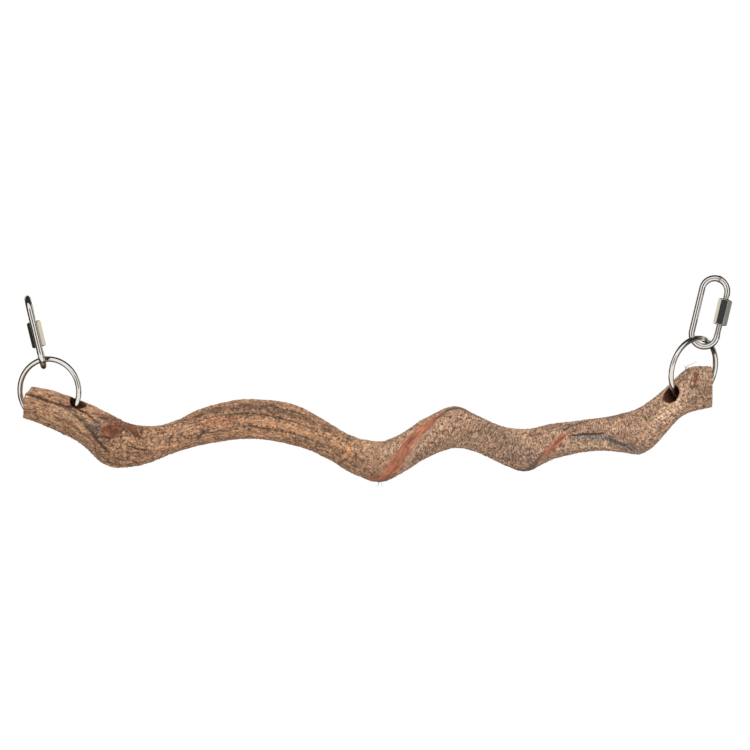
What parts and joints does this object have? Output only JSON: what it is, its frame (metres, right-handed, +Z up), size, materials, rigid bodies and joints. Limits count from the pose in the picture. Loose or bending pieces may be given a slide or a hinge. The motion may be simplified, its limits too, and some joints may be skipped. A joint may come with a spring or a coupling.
{
  "type": "hanging bird perch",
  "caption": "Wavy natural branch perch with its bark on, drilled near each end and hung from steel rings and screw links that swing and open.",
  "frame": {"origin": "inside of the left link's upper bow, where it hangs", "axes": "+X along the branch from its left end to its right, +Y to the back, +Z up"},
  "size_m": [0.3938, 0.0339, 0.114],
  "materials": {
    "bark_wood": "rough natural bark, sawn end grain",
    "ring_steel": "polished nickel-plated welded wire",
    "link_steel": "polished nickel-plated bent wire",
    "nut_steel": "plated turned hexagon bar"
  },
  "bodies": {
    "branch": {"branch": "bark_wood"},
    "left_ring": {"left_ring": "ring_steel"},
    "left_link": {"left_link": "link_steel"},
    "left_nut": {"left_nut": "nut_steel"},
    "right_ring": {"right_ring": "ring_steel"},
    "right_link": {"right_link": "link_steel"},
    "right_nut": {"right_nut": "nut_steel"}
  },
  "joints": [
    {"name": "left_ring_turn", "type": "hinge", "parent": "branch", "child": "left_ring", "pos_m": [0.01167, 0, -0.04903], "axis": [0.3428, 0.9361, 0.0791], "range_deg": [-50, 50]},
    {"name": "left_link_swing", "type": "hinge", "parent": "left_ring", "child": "left_link", "pos_m": [0.00774, 0, -0.03198], "axis": [-0.9121, 0.3518, -0.2106], "range_deg": [-95, 110]},
    {"name": "left_nut_travel", "type": "slide", "parent": "left_link", "child": "left_nut", "axis": [0.2351, 0, -0.972], "range_m": [-0.0032, 0.0035]},
    {"name": "right_ring_turn", "type": "hinge", "parent": "branch", "child": "right_ring", "pos_m": [0.36606, -0.00612, -0.03729], "axis": [0.6884, -0.6909, -0.221], "range_deg": [-50, 50]},
    {"name": "right_link_swing", "type": "hinge", "parent": "right_ring", "child": "right_link", "pos_m": [0.3714, -0.00612, -0.02063], "axis": [0.6578, 0.723, -0.2112], "range_deg": [-110, 85]},
    {"name": "right_nut_travel", "type": "slide", "parent": "right_link", "child": "right_nut", "axis": [-0.2334, 0, -0.9724], "range_m": [-0.0003, 0.0064]}
  ]
}
